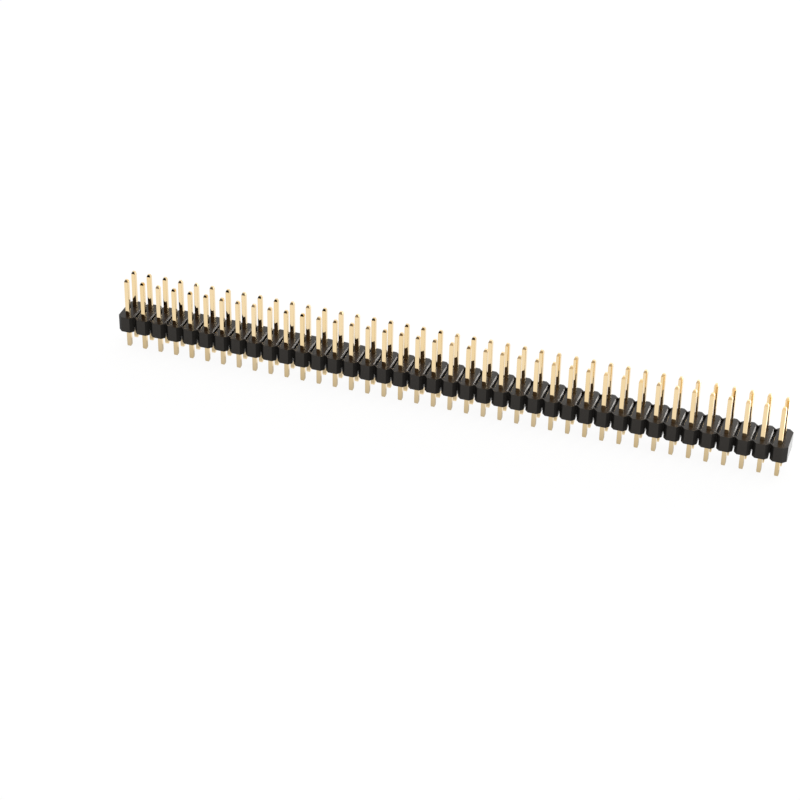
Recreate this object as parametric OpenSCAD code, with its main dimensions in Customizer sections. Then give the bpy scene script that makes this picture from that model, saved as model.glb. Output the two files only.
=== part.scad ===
// Dual-row pin header strip: square pins through an insulator made of octagonal snap-off cells.
// X runs along the strip and Y across it. Z = 0 is the plane of the solder tail tips.

/* [Pin grid] */
// Distance between neighbouring pins, along the strip and across it
pitch = 2.54; // [2.4:0.02:3]
// Number of pin columns along the strip
columns = 40; // [2:1:40]
// Number of pin rows across the strip
rows = 2; // [1:1:3]

/* [Insulator] */
// Height of the insulator
body_h = 2.5; // [2.2:0.05:3.2]
// Distance from the outer row of pins to the long side face
side_margin = 1.27; // [1:0.01:1.3]
// Size of the 45 degree cut at each corner of a cell, seen from above
corner_cut = 0.6; // [0.3:0.05:0.75]

/* [Snap grooves] */
// Depth of the groove in the top, between two cells
top_groove_d = 0.5; // [0.3:0.05:0.7]
// Width of the top groove between its lips
top_groove_w = 0.24; // [0.16:0.02:0.3]
// Width of the top groove at its bottom
top_groove_base = 0.08; // [0.04:0.02:0.16]
// Size of the bevel on the lips of the top groove
top_groove_lip = 0.2; // [0.1:0.02:0.24]
// Thickness of the web that closes each end of the top groove
top_groove_web = 0.14; // [0.1:0.02:0.4]
// Depth of the groove in the underside, between two cells
under_groove_d = 0.95; // [0.5:0.05:1.2]
// Width of the underside groove between its lips
under_groove_w = 0.26; // [0.2:0.02:0.4]
// Width of the underside groove at its bottom
under_groove_base = 0.2; // [0.1:0.02:0.2]
// Size of the bevel on the lips of the underside groove
under_groove_lip = 0.08; // [0.05:0.01:0.15]

/* [Pins] */
// Width of the square pin wire
pin_w = 0.64; // [0.6:0.01:0.7]
// Size of the broken edge along each corner of the wire
pin_edge = 0.1; // [0.04:0.01:0.12]
// Length of the solder tail below the insulator
tail_l = 3; // [2.4:0.1:4]
// Length of the mating pin above the insulator
mate_l = 6; // [5:0.1:12]
// Length of the taper at the mating end of a pin
mate_tip_l = 0.4; // [0.3:0.05:0.6]
// Width of the flat at the mating end of a pin
mate_tip_w = 0.34; // [0.25:0.01:0.4]
// Length of the taper at the tail end of a pin
tail_tip_l = 0.3; // [0.2:0.05:0.6]
// Width of the flat at the tail end of a pin
tail_tip_w = 0.52; // [0.3:0.01:0.56]

/* [Hidden] */
function column_x(i) = (i - (columns + 1) / 2) * pitch;
function row_y(j) = (j - (rows + 1) / 2) * pitch;
function pin_node(i) = str("pin_column_", i < 10 ? "0" : "", i);

strip_l = columns * pitch;
body_d = (rows - 1) * pitch + 2 * side_margin;
body_top = tail_l + body_h;
pin_l = body_top + mate_l;
cell_flat = pitch - 2 * corner_cut;
top_groove_l = body_d - 2 * (corner_cut + top_groove_web);
under_groove_l = body_d + 1;
cut_over = 0.2;

// Long side of the plan outline, from -X to +X: each cell bulges out between two notches
function side_points(y) = concat(
    [for (i = [1 : columns]) each [
        [column_x(i) - pitch / 2, y - corner_cut],
        [column_x(i) - cell_flat / 2, y],
        [column_x(i) + cell_flat / 2, y]
    ]],
    [[strip_l / 2, y - corner_cut]]
);

// The plan outline repeats the long side on both sides of the X axis
module plan_outline() {
    side = side_points(body_d / 2);
    last = len(side) - 1;
    polygon(concat(
        [for (p = side) [p.x, -p.y]],
        [for (k = [last : -1 : 0]) side[k]]
    ));
}

// Groove outline in the XZ plane, mouth down at Z = 0: bevelled lips, then walls that draw together
module groove_outline(width, base, depth, lip) {
    mouth = width / 2 + lip + cut_over;
    polygon([
        [-mouth, -cut_over], [-width / 2, lip], [-base / 2, depth],
        [base / 2, depth], [width / 2, lip], [mouth, -cut_over]
    ]);
}

// The closed groove over the joint between two cells, and the open one under it
module groove_pair() {
    translate([0, 0, body_top]) mirror([0, 0, 1]) across(top_groove_l)
        groove_outline(top_groove_w, top_groove_base, top_groove_d, top_groove_lip);
    translate([0, 0, tail_l]) across(under_groove_l)
        groove_outline(under_groove_w, under_groove_base, under_groove_d, under_groove_lip);
}

// Extrudes an XZ outline along Y, centred on the X axis
module across(length) {
    rotate([90, 0, 0]) linear_extrude(length, center = true) children();
}

// Section of the pin wire: a square with its four corners broken
module pin_section() {
    a = pin_w / 2;
    b = a - pin_edge;
    polygon([[a, -b], [a, b], [b, a], [-b, a], [-a, b], [-a, -b], [-b, -a], [b, -a]]);
}

// Side view of a pin: straight, with a long taper at the mating end and a short one at the tail end
module pin_profile() {
    a = pin_w / 2;
    low = tail_tip_w / 2;
    high = mate_tip_w / 2;
    polygon([
        [-low, 0], [low, 0], [a, tail_tip_l], [a, pin_l - mate_tip_l],
        [high, pin_l], [-high, pin_l], [-a, pin_l - mate_tip_l], [-a, tail_tip_l]
    ]);
}

// One pin, upright on its solder tail tip
module pin() {
    intersection() {
        linear_extrude(pin_l) pin_section();
        across(pin_w) pin_profile();
        rotate([0, 0, 90]) across(pin_w) pin_profile();
    }
}

// Moulded insulator with one hole for each pin
module insulator() {
    color("#2e2e30")
    difference() {
        translate([0, 0, tail_l]) linear_extrude(body_h) plan_outline();
        for (i = [1 : columns - 1])
            translate([column_x(i) + pitch / 2, 0, 0]) groove_pair();
        for (i = [1 : columns], j = [1 : rows])
            translate([column_x(i), row_y(j), tail_l - 1])
                linear_extrude(body_h + 2) pin_section();
    }
}

// The pins of one column, from the front row to the back row
module pin_column(i) {
    color("#e8cd98")
    for (j = [1 : rows])
        translate([column_x(i), row_y(j), 0]) pin();
}

insulator();
for (i = [1 : columns])
    pin_column(i);
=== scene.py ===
import bpy
import bmesh
import math
from mathutils import Matrix, Vector


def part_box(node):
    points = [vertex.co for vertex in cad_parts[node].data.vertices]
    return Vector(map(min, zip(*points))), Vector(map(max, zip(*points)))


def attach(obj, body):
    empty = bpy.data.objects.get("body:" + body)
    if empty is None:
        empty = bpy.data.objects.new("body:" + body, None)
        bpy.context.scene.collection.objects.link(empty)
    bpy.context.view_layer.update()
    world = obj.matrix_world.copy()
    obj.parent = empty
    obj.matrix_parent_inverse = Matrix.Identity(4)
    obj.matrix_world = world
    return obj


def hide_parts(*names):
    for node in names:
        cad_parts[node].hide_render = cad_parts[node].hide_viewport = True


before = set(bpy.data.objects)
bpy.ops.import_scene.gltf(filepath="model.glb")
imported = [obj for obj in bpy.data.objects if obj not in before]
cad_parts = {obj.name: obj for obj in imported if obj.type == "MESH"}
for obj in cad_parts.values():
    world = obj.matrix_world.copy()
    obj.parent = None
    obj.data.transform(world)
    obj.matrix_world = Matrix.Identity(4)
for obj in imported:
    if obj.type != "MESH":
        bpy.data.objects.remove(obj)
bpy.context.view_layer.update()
mm = 0.001
weldGap = 0.002 * mm     # points closer than this become one
print("frame loaded:", len(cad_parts), "parts")


# an sRGB hex code as a linear colour
def hexColour(code, alpha=1.0):
    channels = [int(code[i:i + 2], 16) / 255 for i in (1, 3, 5)]
    linear = [c / 12.92 if c <= 0.04045 else ((c + 0.055) / 1.055) ** 2.4 for c in channels]
    return (*linear, alpha)


# adds one node; a value that is a socket is linked, any other value is set on the socket
def addNode(tree, kind, inputs=None, **settings):
    node = tree.nodes.new(kind)
    for name, value in settings.items():
        setattr(node, name, value)
    for socket, value in (inputs or {}).items():
        if isinstance(value, bpy.types.NodeSocket):
            tree.links.new(value, node.inputs[socket])
        else:
            node.inputs[socket].default_value = value
    return node


def newMaterial(name):
    material = bpy.data.materials.new(name)
    material.use_nodes = True
    material.node_tree.nodes.clear()
    return material, material.node_tree


def newObject(name, mesh):
    obj = bpy.data.objects.new(name, mesh)
    bpy.context.scene.collection.objects.link(obj)
    return obj


def meshFromBm(bm, name):
    bmesh.ops.recalc_face_normals(bm, faces=bm.faces)
    mesh = bpy.data.meshes.new(name)
    bm.to_mesh(mesh)
    bm.free()
    return mesh


# the evaluated result of an object's modifiers, as a plain mesh on a new object
def bakedCopy(obj, name):
    bpy.context.view_layer.update()
    evaluated = obj.evaluated_get(bpy.context.evaluated_depsgraph_get())
    mesh = bpy.data.meshes.new_from_object(evaluated)
    mesh.name = name
    return newObject(name, mesh)


def discard(*objects):
    for obj in objects:
        bpy.data.objects.remove(obj)


# sets a Geometry Nodes input by the identifier of the socket with that name
def setInput(modifier, tree, name, value):
    for item in tree.interface.items_tree:
        if item.item_type == "SOCKET" and item.in_out == "INPUT" and item.name == name:
            modifier[item.identifier] = value


camera = {
    "aim": (-5.484, -4.069, 1.81),     # mm, what the middle of the view looks at
    "azimuth": 17.964,                 # degrees round from the front towards +X
    "elevation": 33.882,               # degrees
    "distance": 345.12,                # mm
    "roll": 1.155,                     # degrees
    "lens": 106.83,                    # mm, on a sensor of the width below
    "sensor": 36,
    "clipStart": 0.01,                 # m
}


def makeCamera():
    azimuth, elevation = math.radians(camera["azimuth"]), math.radians(camera["elevation"])
    back = Vector((math.sin(azimuth) * math.cos(elevation),
                   -math.cos(azimuth) * math.cos(elevation),
                   math.sin(elevation)))
    data = bpy.data.cameras.new("camera")
    data.lens = camera["lens"]
    data.sensor_width = camera["sensor"]
    data.clip_start = camera["clipStart"]
    obj = newObject("camera", data)
    turn = (-back).to_track_quat("-Z", "Y").to_matrix().to_4x4()
    roll = Matrix.Rotation(math.radians(camera["roll"]), 4, "Z")
    place = (Vector(camera["aim"]) + back * camera["distance"]) * mm
    obj.matrix_world = Matrix.Translation(place) @ turn @ roll
    bpy.context.scene.camera = obj


makeCamera()
print("camera placed")


# the insulator is one moulded strip of cells that are octagons seen from above
insulator = {
    "columns": 40,
    "rows": 2,
    "cornerCut": 0.6,             # mm, 45 degree cut at each corner of a cell
    # mm: width at the lips, width at the bottom, depth, bevel of the lips
    "topGroove": (0.24, 0.08, 0.5, 0.2),
    "underGroove": (0.22, 0.18, 0.95, 0.04),
    "grooveWeb": 0.14,            # mm, closes each end of a top groove
    "edgeRadius": 0.06,           # mm
    "edgeSteps": 3,
    "edgeAngle": 25,              # degrees, edges sharper than this are rounded
    "creaseAngle": 35,            # degrees, edges sharper than this are shaded as a crease
    "pinWidth": 0.64,             # mm
    "holeGap": 0.02,              # mm, between a pin and its hole
    "tones": ("#0a0a0a", "#131211"),
    "warmLightTint": "#fff5ea",           # painted warm light: a warm tint laid on all its reflections
    "ior": 1.45,
    "roughness": (0.28, 0.36),
    "reflection": 0.5,
    "cutRoughness": 0.34,         # half of this and of the next is added on a 45 degree cut
    # the next turns the reflection of the 45 degree cuts down: painted shade of the V notches
    # between cells
    "paintedNotchShade": -0.54,
    # features to a mm: the mould's grain, about 0.03 mm, is too fine to show and is drawn
    # 0.17 mm wide; patches of even gloss are 1.4 mm wide, and torn fibres 0.33 mm
    "grain": 6.0,
    "patches": 0.7,
    "tears": 3.0,
    "tearHeight": 8.0,            # times that of the grain
    "endSkin": 0.02,              # mm, how far in from the end faces the tears go
    "bumpStrength": 0.12,
    "bumpDepth": 0.01,            # mm
}

bodyLow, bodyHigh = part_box("insulator")
pitch = (bodyHigh.x - bodyLow.x) / insulator["columns"]


# 0.5 on the 45 degree cuts, and 0 on faces square to the strip
def cutShare(tree, normal):
    facing = addNode(tree, "ShaderNodeSeparateXYZ", {"Vector": normal})
    oblique = addNode(tree, "ShaderNodeMath", {0: facing.outputs["X"], 1: facing.outputs["Y"]},
                      operation="MULTIPLY")
    share = addNode(tree, "ShaderNodeMath", {0: oblique.outputs[0]}, operation="ABSOLUTE")
    return share.outputs[0]


# grain all over, and tears on the two end faces
def skinHeight(tree, place):
    grain = addNode(tree, "ShaderNodeTexNoise", {"Vector": place, "Scale": insulator["grain"] / mm,
                    "Detail": 3.0})
    tears = addNode(tree, "ShaderNodeTexNoise", {"Vector": place, "Scale": insulator["tears"] / mm,
                    "Detail": 4.0})
    parts = addNode(tree, "ShaderNodeSeparateXYZ", {"Vector": place})
    away = addNode(tree, "ShaderNodeMath", {0: parts.outputs["X"]}, operation="ABSOLUTE")
    ends = addNode(tree, "ShaderNodeMath", {0: away.outputs[0],
                   1: bodyHigh.x - insulator["endSkin"] * mm}, operation="GREATER_THAN")
    torn = addNode(tree, "ShaderNodeMath", {0: tears.outputs["Fac"], 1: ends.outputs[0]},
                   operation="MULTIPLY")
    height = addNode(tree, "ShaderNodeMath", {0: torn.outputs[0], 1: insulator["tearHeight"],
                     2: grain.outputs["Fac"]}, operation="MULTIPLY_ADD")
    return height.outputs[0]


# glass-filled PBT, injection moulded black: deep black with a semi-gloss skin that mirrors
# the pins softly with painted warm light in its reflections, a faint mould grain that breaks up
# the broad reflections, rougher faces where the cells are cut at 45 degrees with their reflection
# turned down as painted shade of the V notches, and torn ends where it was snapped off
def mouldedPbt():
    material, tree = newMaterial("mouldedPbt")
    coords = addNode(tree, "ShaderNodeTexCoord").outputs
    patches = addNode(tree, "ShaderNodeTexNoise", {"Vector": coords["Object"],
                      "Scale": insulator["patches"] / mm, "Detail": 2.0})
    tone = addNode(tree, "ShaderNodeValToRGB", {"Fac": patches.outputs["Fac"]})
    for element, code in zip(tone.color_ramp.elements, insulator["tones"]):
        element.color = hexColour(code)
    least, most = insulator["roughness"]
    gloss = addNode(tree, "ShaderNodeMapRange", {"Value": patches.outputs["Fac"],
                    "To Min": least, "To Max": most})
    cut = cutShare(tree, coords["Normal"])
    rough = addNode(tree, "ShaderNodeMath", {0: cut, 1: insulator["cutRoughness"],
                    2: gloss.outputs["Result"]}, operation="MULTIPLY_ADD")
    # reflection strength, turned down on the 45 degree cuts as painted shade of the V notches
    shineWithPaintedShade = addNode(tree, "ShaderNodeMath", {0: cut, 1: insulator["paintedNotchShade"],
                    2: insulator["reflection"]}, operation="MULTIPLY_ADD")
    bump = addNode(tree, "ShaderNodeBump", {"Height": skinHeight(tree, coords["Object"]),
                   "Strength": insulator["bumpStrength"], "Distance": insulator["bumpDepth"] * mm})
    shader = addNode(tree, "ShaderNodeBsdfPrincipled", {
        "Base Color": tone.outputs["Color"], "Roughness": rough.outputs[0],
        "IOR": insulator["ior"], "Specular IOR Level": shineWithPaintedShade.outputs[0],
        # the specular tint paints warm light into the skin's reflections
        "Specular Tint": hexColour(insulator["warmLightTint"]), "Normal": bump.outputs["Normal"]})
    addNode(tree, "ShaderNodeOutputMaterial", {"Surface": shader.outputs["BSDF"]})
    return material


# plan outline of a short strip, counter-clockwise
def stripOutline(cells):
    cut = insulator["cornerCut"] * mm
    half = pitch / 2 - cut
    front = []
    for i in range(cells):
        x = (i - (cells - 1) / 2) * pitch
        front += [(x - pitch / 2, bodyLow.y + cut), (x - half, bodyLow.y), (x + half, bodyLow.y)]
    front.append((cells * pitch / 2, bodyLow.y + cut))
    return front + [(x, -y) for x, y in reversed(front)]


# a prism with the given outline; place turns an (u, v, w) point into x, y, z
def prism(name, outline, low, high, place):
    bm = bmesh.new()
    ends = [[bm.verts.new(place(u, v, w)) for u, v in outline] for w in (low, high)]
    bm.faces.new(ends[0])
    bm.faces.new(ends[1])
    count = len(outline)
    for k in range(count):
        n = (k + 1) % count
        bm.faces.new((ends[0][k], ends[0][n], ends[1][n], ends[1][k]))
    return newObject(name, meshFromBm(bm, name))


# a groove's section, mouth at v = 0, reaching a little way out of the face that it cuts
def grooveOutline(sizes):
    width, base, depth, lip = (size * mm for size in sizes)
    over = 0.2 * mm
    mouth = width / 2 + lip + over
    return [(-mouth, -over), (-width / 2, lip), (-base / 2, depth),
            (base / 2, depth), (width / 2, lip), (mouth, -over)]


def subtract(target, tool):
    modifier = target.modifiers.new("cut", "BOOLEAN")
    modifier.operation = "DIFFERENCE"
    modifier.solver = "EXACT"
    modifier.object = tool
    result = bakedCopy(target, target.name)
    discard(target, tool)
    return result


# one half and its mirror image, so that neighbouring cells meet edge to edge
def evened(strip):
    mirror = strip.modifiers.new("even", "MIRROR")
    mirror.use_bisect_axis[0] = True
    mirror.bisect_threshold = 0.0001 * mm
    mirror.merge_threshold = 0.001 * mm
    result = bakedCopy(strip, strip.name)
    discard(strip)
    return result


# three cells are enough: the first, any middle one and the last
def shortStrip(cells=3):
    strip = prism("strip", stripOutline(cells), bodyLow.z, bodyHigh.z, lambda u, v, w: (u, v, w))
    underReach = bodyHigh.y + mm
    topReach = bodyHigh.y - (insulator["cornerCut"] + insulator["grooveWeb"]) * mm
    for k in range(cells - 1):
        x = (k + 1 - cells / 2) * pitch
        under = prism("under", grooveOutline(insulator["underGroove"]), -underReach, underReach,
                      lambda u, v, w: (x + u, w, bodyLow.z + v))
        strip = subtract(strip, under)
        top = prism("top", grooveOutline(insulator["topGroove"]), -topReach, topReach,
                    lambda u, v, w: (x + u, w, bodyHigh.z - v))
        strip = subtract(strip, top)
    bevel = strip.modifiers.new("edges", "BEVEL")
    bevel.width = insulator["edgeRadius"] * mm
    bevel.segments = insulator["edgeSteps"]
    bevel.limit_method = "ANGLE"
    bevel.angle_limit = math.radians(insulator["edgeAngle"])
    rounded = bakedCopy(strip, "roundedStrip")
    discard(strip)
    half = (insulator["pinWidth"] / 2 + insulator["holeGap"]) * mm
    square = [(-half, -half), (half, -half), (half, half), (-half, half)]
    for i in range(cells):
        for j in range(insulator["rows"]):
            x = (i - (cells - 1) / 2) * pitch
            y = (j - (insulator["rows"] - 1) / 2) * pitch
            hole = prism("hole", square, bodyLow.z - mm, bodyHigh.z + mm,
                         lambda u, v, w: (x + u, y + v, w))
            rounded = subtract(rounded, hole)
    return evened(rounded)


# the part of the strip between two places in X; None leaves that side as it is
def cellBetween(strip, low, high, name):
    bm = bmesh.new()
    bm.from_mesh(strip.data)
    for x, side in ((low, -1), (high, 1)):
        if x is None:
            continue
        geometry = bm.verts[:] + bm.edges[:] + bm.faces[:]
        bmesh.ops.bisect_plane(bm, geom=geometry, plane_co=(x, 0, 0), plane_no=(side, 0, 0),
                               clear_outer=True)
    mesh = bpy.data.meshes.new(name)
    bm.to_mesh(mesh)
    bm.free()
    return newObject(name, mesh)


# a row of middle cells with the first and the last cell at its ends
def insulatorTree(material):
    tree = bpy.data.node_groups.new("cellRow", "GeometryNodeTree")
    face = tree.interface
    face.new_socket("Geometry", in_out="OUTPUT", socket_type="NodeSocketGeometry")
    face.new_socket("Geometry", in_out="INPUT", socket_type="NodeSocketGeometry")
    face.new_socket("Columns", in_out="INPUT", socket_type="NodeSocketInt")
    face.new_socket("Pitch", in_out="INPUT", socket_type="NodeSocketFloat")
    for name in ("Middle cell", "First cell", "Last cell"):
        face.new_socket(name, in_out="INPUT", socket_type="NodeSocketObject")
    given = addNode(tree, "NodeGroupInput").outputs
    inner = addNode(tree, "ShaderNodeMath", {0: given["Columns"], 1: 2.0}, operation="SUBTRACT")
    gaps = addNode(tree, "ShaderNodeMath", {0: inner.outputs[0], 1: 1.0}, operation="SUBTRACT")
    length = addNode(tree, "ShaderNodeMath", {0: gaps.outputs[0], 1: given["Pitch"]},
                     operation="MULTIPLY")
    startX = addNode(tree, "ShaderNodeMath", {0: length.outputs[0], 1: -0.5}, operation="MULTIPLY")
    start = addNode(tree, "ShaderNodeCombineXYZ", {"X": startX.outputs[0]})
    step = addNode(tree, "ShaderNodeCombineXYZ", {"X": given["Pitch"]})
    line = addNode(tree, "GeometryNodeMeshLine", {"Count": inner.outputs[0],
                   "Start Location": start.outputs[0], "Offset": step.outputs[0]})
    middle = addNode(tree, "GeometryNodeObjectInfo", {"Object": given["Middle cell"]})
    row = addNode(tree, "GeometryNodeInstanceOnPoints", {"Points": line.outputs[0],
                  "Instance": middle.outputs["Geometry"]})
    parts = [row.outputs[0]]
    for name, side in (("First cell", -0.5), ("Last cell", 0.5)):
        shift = addNode(tree, "ShaderNodeMath", {0: length.outputs[0], 1: side},
                        operation="MULTIPLY")
        move = addNode(tree, "ShaderNodeCombineXYZ", {"X": shift.outputs[0]})
        source = addNode(tree, "GeometryNodeObjectInfo", {"Object": given[name]})
        moved = addNode(tree, "GeometryNodeTransform", {"Geometry": source.outputs["Geometry"],
                        "Translation": move.outputs[0]})
        parts.append(moved.outputs[0])
    join = addNode(tree, "GeometryNodeJoinGeometry")
    for part in parts:
        tree.links.new(part, join.inputs[0])
    solid = addNode(tree, "GeometryNodeRealizeInstances", {0: join.outputs[0]})
    welded = addNode(tree, "GeometryNodeMergeByDistance", {"Geometry": solid.outputs[0],
                     "Distance": weldGap})
    dressed = addNode(tree, "GeometryNodeSetMaterial", {"Geometry": welded.outputs[0],
                      "Material": material})
    addNode(tree, "NodeGroupOutput", {0: dressed.outputs[0]})
    return tree


# keeps flat faces flat beside the rounded edges
def smoothEdges(obj, angle):
    for polygon in obj.data.polygons:
        polygon.use_smooth = True
    obj.data.set_sharp_from_angle(angle=math.radians(angle))
    weighted = obj.modifiers.new("flatFaces", "WEIGHTED_NORMAL")
    weighted.keep_sharp = True
    weighted.weight = 100


def makeInsulator(material):
    strip = shortStrip()
    middle = cellBetween(strip, -pitch / 2, pitch / 2, "middleCell")
    first = cellBetween(strip, None, -pitch / 2, "firstCell")
    last = cellBetween(strip, pitch / 2, None, "lastCell")
    holder = newObject("cellHolder", bpy.data.meshes.new("cellHolder"))
    tree = insulatorTree(material)
    modifier = holder.modifiers.new("cells", "NODES")
    modifier.node_group = tree
    setInput(modifier, tree, "Columns", insulator["columns"])
    setInput(modifier, tree, "Pitch", pitch)
    setInput(modifier, tree, "Middle cell", middle)
    setInput(modifier, tree, "First cell", first)
    setInput(modifier, tree, "Last cell", last)
    body = bakedCopy(holder, "insulatorStrip")
    discard(strip, middle, first, last, holder)
    smoothEdges(body, insulator["creaseAngle"])
    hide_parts("insulator")
    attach(body, "root")
    return body


body = makeInsulator(mouldedPbt())
print("insulator made:", len(body.data.polygons), "faces")


# the pins are square wire, tapered at both ends
pins = {
    "width": 0.64,                # mm
    "cornerRadius": 0.07,         # mm
    "cornerSteps": 4,
    "mateTaper": (0.4, 0.34),     # mm: length of the taper, width of its flat end
    "tailTaper": (0.3, 0.52),
    "taperSteps": 6,
    "creaseAngle": 20,            # degrees, edges sharper than this are shaded as a crease
    "twist": 1.2,                 # degrees, the most that a pin is turned in its hole
    "lean": 0.2,                  # degrees, the most that a pin leans
    "seed": 7,
    "tones": ("#f0d5a4", "#f4dcb2"),
    "roughness": (0.03, 0.07),
    "shearRoughness": 0.22,       # the most that is added on a sheared tip
    # lines to a mm: those of a drawing die, about 0.01 mm apart, are too fine to show and
    # are drawn 0.08 mm wide, and 25 times as long
    "lines": 12.0,
    "lineStretch": 0.04,
    "bumpStrength": 0.08,
    "bumpDepth": 0.003,           # mm
}

pinNodes = sorted(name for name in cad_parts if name.startswith("pin_column"))
pinLow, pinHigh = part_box(pinNodes[0])
pinLength = pinHigh.z - pinLow.z


# gold flash over drawn brass wire: a pale warm mirror with fine lines along the wire,
# and a sheared tip that is duller on some pins than on others
def goldFlash():
    material, tree = newMaterial("goldFlash")
    coords = addNode(tree, "ShaderNodeTexCoord").outputs
    stretch = addNode(tree, "ShaderNodeMapping", {"Vector": coords["Object"],
                      "Scale": (1.0, 1.0, pins["lineStretch"])})
    lines = addNode(tree, "ShaderNodeTexNoise", {"Vector": stretch.outputs["Vector"],
                    "Scale": pins["lines"] / mm, "Detail": 2.0})
    shade = addNode(tree, "ShaderNodeAttribute", attribute_name="pinShade")
    tone = addNode(tree, "ShaderNodeValToRGB", {"Fac": shade.outputs["Fac"]})
    for element, code in zip(tone.color_ramp.elements, pins["tones"]):
        element.color = hexColour(code)
    least, most = pins["roughness"]
    gloss = addNode(tree, "ShaderNodeMapRange", {"Value": lines.outputs["Fac"],
                    "To Min": least, "To Max": most})
    height = addNode(tree, "ShaderNodeSeparateXYZ", {"Vector": coords["Object"]})
    tip = addNode(tree, "ShaderNodeMath", {0: height.outputs["Z"],
                  1: pinLength - pins["mateTaper"][0] * mm}, operation="GREATER_THAN")
    sheared = addNode(tree, "ShaderNodeMath", {0: shade.outputs["Fac"], 1: tip.outputs[0]},
                      operation="MULTIPLY")
    rough = addNode(tree, "ShaderNodeMath", {0: sheared.outputs[0], 1: pins["shearRoughness"],
                    2: gloss.outputs["Result"]}, operation="MULTIPLY_ADD")
    bump = addNode(tree, "ShaderNodeBump", {"Height": lines.outputs["Fac"],
                   "Strength": pins["bumpStrength"], "Distance": pins["bumpDepth"] * mm})
    shader = addNode(tree, "ShaderNodeBsdfPrincipled", {
        "Base Color": tone.outputs["Color"], "Metallic": 1.0,
        "Roughness": rough.outputs[0], "Normal": bump.outputs["Normal"]})
    addNode(tree, "ShaderNodeOutputMaterial", {"Surface": shader.outputs["BSDF"]})
    return material


# one corner-rounded square, clipped to the taper's half width
def pinRing(reach):
    half, radius = pins["width"] / 2 * mm, pins["cornerRadius"] * mm
    points = []
    for corner in range(4):
        middle = Vector((half - radius, half - radius))
        for step in range(pins["cornerSteps"] + 1):
            angle = math.pi / 2 * step / pins["cornerSteps"]
            point = middle + radius * Vector((math.cos(angle), math.sin(angle)))
            turned = Matrix.Rotation(corner * math.pi / 2, 2) @ point
            points.append([max(-reach, min(reach, value)) for value in turned])
    return points


# distances into a taper from its end, each with the wire's half width there
def taperLevels(taper):
    half, steps = pins["width"] / 2 * mm, pins["taperSteps"]
    length, tip = taper[0] * mm, taper[1] / 2 * mm
    return [(length * k / steps, tip + (half - tip) * k / steps) for k in range(steps + 1)]


# one pin, upright on its tail tip
def pinMesh():
    levels = taperLevels(pins["tailTaper"])
    levels += [(pinLength - z, reach) for z, reach in reversed(taperLevels(pins["mateTaper"]))]
    bm = bmesh.new()
    rings = [[bm.verts.new((x, y, z)) for x, y in pinRing(reach)] for z, reach in levels]
    bm.faces.new(rings[0])
    bm.faces.new(rings[-1])
    count = len(rings[0])
    for low, high in zip(rings, rings[1:]):
        for k in range(count):
            n = (k + 1) % count
            bm.faces.new((low[k], low[n], high[n], high[k]))
    bmesh.ops.remove_doubles(bm, verts=bm.verts, dist=weldGap)
    return meshFromBm(bm, "pinBlank")


# the pin on a grid, each one with its own small lean, twist and shade
def pinTree(material):
    tree = bpy.data.node_groups.new("pinGrid", "GeometryNodeTree")
    face = tree.interface
    face.new_socket("Geometry", in_out="OUTPUT", socket_type="NodeSocketGeometry")
    face.new_socket("Geometry", in_out="INPUT", socket_type="NodeSocketGeometry")
    for name in ("Columns", "Rows", "Seed"):
        face.new_socket(name, in_out="INPUT", socket_type="NodeSocketInt")
    for name in ("Pitch", "Twist", "Lean"):
        face.new_socket(name, in_out="INPUT", socket_type="NodeSocketFloat")
    given = addNode(tree, "NodeGroupInput").outputs
    sizes = []
    for name in ("Columns", "Rows"):
        gaps = addNode(tree, "ShaderNodeMath", {0: given[name], 1: 1.0}, operation="SUBTRACT")
        sizes.append(addNode(tree, "ShaderNodeMath", {0: gaps.outputs[0], 1: given["Pitch"]},
                             operation="MULTIPLY").outputs[0])
    grid = addNode(tree, "GeometryNodeMeshGrid", {"Size X": sizes[0], "Size Y": sizes[1],
                   "Vertices X": given["Columns"], "Vertices Y": given["Rows"]})
    lean = addNode(tree, "ShaderNodeMath", {0: given["Lean"], 1: -1.0}, operation="MULTIPLY")
    twist = addNode(tree, "ShaderNodeMath", {0: given["Twist"], 1: -1.0}, operation="MULTIPLY")
    least = addNode(tree, "ShaderNodeCombineXYZ", {"X": lean.outputs[0], "Y": lean.outputs[0],
                    "Z": twist.outputs[0]})
    most = addNode(tree, "ShaderNodeCombineXYZ", {"X": given["Lean"], "Y": given["Lean"],
                   "Z": given["Twist"]})
    turn = addNode(tree, "FunctionNodeRandomValue", {
                   "Min": least.outputs[0], "Max": most.outputs[0],
                   "Seed": given["Seed"]}, data_type="FLOAT_VECTOR")
    row = addNode(tree, "GeometryNodeInstanceOnPoints", {"Points": grid.outputs["Mesh"],
                  "Instance": given["Geometry"], "Rotation": turn.outputs["Value"]})
    shade = addNode(tree, "FunctionNodeRandomValue", {"Seed": given["Seed"]}, data_type="FLOAT")
    marked = addNode(tree, "GeometryNodeStoreNamedAttribute", {"Geometry": row.outputs[0],
                     "Name": "pinShade"}, data_type="FLOAT", domain="INSTANCE")
    tree.links.new(next(s for s in shade.outputs if s.enabled), marked.inputs["Value"])
    solid = addNode(tree, "GeometryNodeRealizeInstances", {0: marked.outputs[0]})
    dressed = addNode(tree, "GeometryNodeSetMaterial", {"Geometry": solid.outputs[0],
                      "Material": material})
    addNode(tree, "NodeGroupOutput", {0: dressed.outputs[0]})
    return tree


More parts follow.
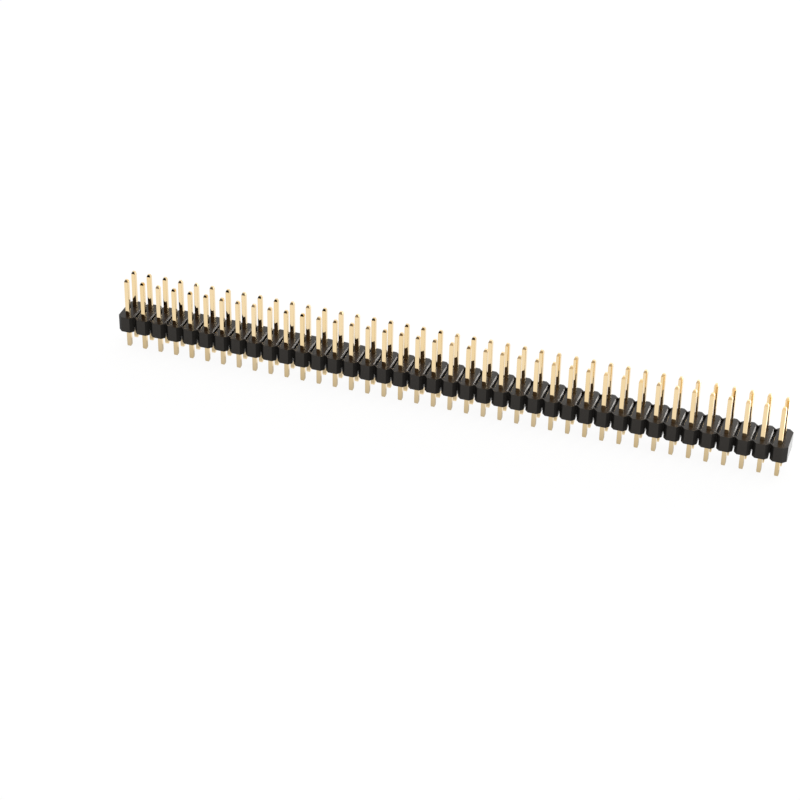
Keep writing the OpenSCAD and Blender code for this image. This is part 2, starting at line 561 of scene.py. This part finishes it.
def makePins(material):
    blank = newObject("pinBlank", pinMesh())
    tree = pinTree(material)
    modifier = blank.modifiers.new("grid", "NODES")
    modifier.node_group = tree
    setInput(modifier, tree, "Columns", insulator["columns"])
    setInput(modifier, tree, "Rows", insulator["rows"])
    setInput(modifier, tree, "Pitch", pitch)
    setInput(modifier, tree, "Twist", math.radians(pins["twist"]))
    setInput(modifier, tree, "Lean", math.radians(pins["lean"]))
    setInput(modifier, tree, "Seed", pins["seed"])
    grid = bakedCopy(blank, "headerPins")
    discard(blank)
    smoothEdges(grid, pins["creaseAngle"])
    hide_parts(*pinNodes)
    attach(grid, "root")
    return grid


grid = makePins(goldFlash())
print("pins made:", len(grid.data.polygons), "faces")


# floor, lights and surroundings
studio = {
    "floorSize": 4.0,           # m
    "floorTone": "#f2f2f2",
    "cameraGlow": 0.93,         # share of plain white in the floor that the camera sees
    # level of the floor in reflections, by distance across the strip in mm: a painted shadow of
    # the strip in front of it and under it, and white farther off
    "paintedShadowLevels": ((-12, 1.0), (-7, 0.92), (-5, 0.76), (-2.6, 0.66), (-1.3, 0.57),
                     (-0.5, 0.56), (0.4, 0.58), (0.8, 0.85), (1.5, 1.0), (12, 1.0)),
    "endPlace": 51.2,           # mm, beyond the right end the floor in reflections is painted brighter by this gain
    "paintedEndGain": 1.4,
    # the surroundings by the share of X in their direction: white behind the strip, and in
    # front of it a warm dim room to the left
    "backLevels": ((-0.4, 0.92), (-0.1, 1.4), (0.1, 1.2), (0.25, 0.5), (0.4, 0.5)),
    "frontTones": ((-0.4, "#62462a"), (-0.26, "#be946a"), (-0.13, "#f4d6b8"), (0.05, "#ffffff")),
    "lowTones": ((-0.42, "#0a0806"), (-0.26, "#120e08"), (-0.22, "#806848"), (-0.16, "#fff4e4")),
    "lowHeight": (0.18, 0.42),  # shares of Z between which the low tones turn into the front's
    "frontDepth": (0.0, -0.3),  # shares of Y between which the back turns into the front
    # each with its place in m, its size in m and its power in W
    "softboxes": (("keySoftbox", (0.26, 0.42, 0.11), (0.3, 0.19), 2.6),
                  ("topSoftbox", (0.1, 0.1, 0.7), (0.8, 0.8), 3.0)),
}


# a colour ramp through the given stops, each a place in the value and its colour
def addRamp(tree, value, stops):
    low, high = stops[0][0], stops[-1][0]
    along = addNode(tree, "ShaderNodeMapRange", {"Value": value, "From Min": low,
                    "From Max": high})
    ramp = addNode(tree, "ShaderNodeValToRGB", {"Fac": along.outputs["Result"]})
    elements = ramp.color_ramp.elements
    for place, _ in stops[1:-1]:
        elements.new((place - low) / (high - low))
    for element, (_, colour) in zip(elements, stops):
        element.color = colour
    return ramp.outputs["Color"]


# levels go up to 2, and a ramp's colours only up to 1
def halfGreys(levels):
    return [(place, (level / 2, level / 2, level / 2, 1)) for place, level in levels]


def hexStops(tones):
    return [(place, hexColour(code)) for place, code in tones]


# matt white paper; the camera sees it almost plain white with the strip's shadow on it, and
# reflections show it at the painted shadow levels above, painted brighter beyond the right end
def floorMaterial():
    material, tree = newMaterial("whiteSweep")
    coords = addNode(tree, "ShaderNodeTexCoord")
    across = addNode(tree, "ShaderNodeSeparateXYZ", {"Vector": coords.outputs["Object"]})
    levels = [(place * mm, level) for place, level in studio["paintedShadowLevels"]]
    # painted shadow of the strip and painted light beyond its right end, seen only in reflections
    mirror = addRamp(tree, across.outputs["Y"], halfGreys(levels))
    beyond = addNode(tree, "ShaderNodeMath", {0: across.outputs["X"], 1: studio["endPlace"] * mm},
                     operation="GREATER_THAN")
    gain = addNode(tree, "ShaderNodeMath", {0: beyond.outputs[0], 1: studio["paintedEndGain"], 2: 1.0},
                   operation="MULTIPLY_ADD")
    bright = addNode(tree, "ShaderNodeMath", {0: mirror, 1: gain.outputs[0]}, operation="MULTIPLY")
    path = addNode(tree, "ShaderNodeLightPath")
    mirrored = addNode(tree, "ShaderNodeMath", {0: path.outputs["Is Glossy Ray"],
                       1: path.outputs["Is Transmission Ray"]}, operation="MAXIMUM")
    share = addNode(tree, "ShaderNodeMath", {0: path.outputs["Is Camera Ray"],
                    1: studio["cameraGlow"], 2: mirrored.outputs[0]}, operation="MULTIPLY_ADD")
    level = addNode(tree, "ShaderNodeMix", {0: mirrored.outputs[0], 2: 0.5, 3: bright.outputs[0]},
                    data_type="FLOAT")
    strength = addNode(tree, "ShaderNodeMath", {0: level.outputs[0], 1: 2.0}, operation="MULTIPLY")
    paper = addNode(tree, "ShaderNodeBsdfDiffuse", {"Color": hexColour(studio["floorTone"])})
    glow = addNode(tree, "ShaderNodeEmission", {"Color": (1, 1, 1, 1),
                   "Strength": strength.outputs[0]})
    mixed = addNode(tree, "ShaderNodeMixShader", {0: share.outputs[0], 1: paper.outputs[0],
                    2: glow.outputs[0]})
    addNode(tree, "ShaderNodeOutputMaterial", {"Surface": mixed.outputs[0]})
    return material


def makeFloor():
    half = studio["floorSize"] / 2
    bm = bmesh.new()
    square = ((-half, -half), (half, -half), (half, half), (-half, half))
    bm.faces.new([bm.verts.new((x, y, 0)) for x, y in square])
    mesh = bpy.data.meshes.new("floor")
    bm.to_mesh(mesh)
    bm.free()
    floor = newObject("floor", mesh)
    floor.data.materials.append(floorMaterial())


# seen by the camera the surroundings are plain white
def makeWorld():
    world = bpy.data.worlds.new("studio")
    world.use_nodes = True
    bpy.context.scene.world = world
    tree = world.node_tree
    tree.nodes.clear()
    coords = addNode(tree, "ShaderNodeTexCoord")
    parts = addNode(tree, "ShaderNodeSeparateXYZ", {"Vector": coords.outputs["Generated"]})
    back = addRamp(tree, parts.outputs["X"], halfGreys(studio["backLevels"]))
    room = addRamp(tree, parts.outputs["X"], hexStops(studio["frontTones"]))
    low = addRamp(tree, parts.outputs["X"], hexStops(studio["lowTones"]))
    rise = addNode(tree, "ShaderNodeMapRange", {"Value": parts.outputs["Z"],
                   "From Min": studio["lowHeight"][0], "From Max": studio["lowHeight"][1]},
                   interpolation_type="SMOOTHSTEP")
    front = addNode(tree, "ShaderNodeMapRange", {"Value": parts.outputs["Y"],
                    "From Min": studio["frontDepth"][0], "From Max": studio["frontDepth"][1]},
                    interpolation_type="SMOOTHSTEP")
    path = addNode(tree, "ShaderNodeLightPath")
    backLight = addNode(tree, "ShaderNodeBackground", {"Color": back, "Strength": 2.0})
    highLight = addNode(tree, "ShaderNodeBackground", {"Color": room, "Strength": 1.0})
    lowLight = addNode(tree, "ShaderNodeBackground", {"Color": low, "Strength": 1.0})
    roomLight = addNode(tree, "ShaderNodeMixShader", {0: rise.outputs[0], 1: lowLight.outputs[0],
                        2: highLight.outputs[0]})
    plain = addNode(tree, "ShaderNodeBackground", {"Color": (1, 1, 1, 1), "Strength": 1.0})
    around = addNode(tree, "ShaderNodeMixShader", {0: front.outputs[0], 1: backLight.outputs[0],
                     2: roomLight.outputs[0]})
    seen = addNode(tree, "ShaderNodeMixShader", {0: path.outputs["Is Camera Ray"],
                   1: around.outputs[0], 2: plain.outputs[0]})
    addNode(tree, "ShaderNodeOutputWorld", {"Surface": seen.outputs[0]})


def makeSoftbox(name, place, size, power):
    data = bpy.data.lights.new(name, "AREA")
    data.shape = "RECTANGLE"
    data.size, data.size_y = size
    data.energy = power
    obj = newObject(name, data)
    place = Vector(place)
    turn = (-place).to_track_quat("-Z", "Y").to_matrix().to_4x4()     # towards the strip
    obj.matrix_world = Matrix.Translation(place) @ turn


makeFloor()
makeWorld()
for softbox in studio["softboxes"]:
    makeSoftbox(*softbox)
bpy.context.scene.view_settings.view_transform = "Standard"
print("studio made")
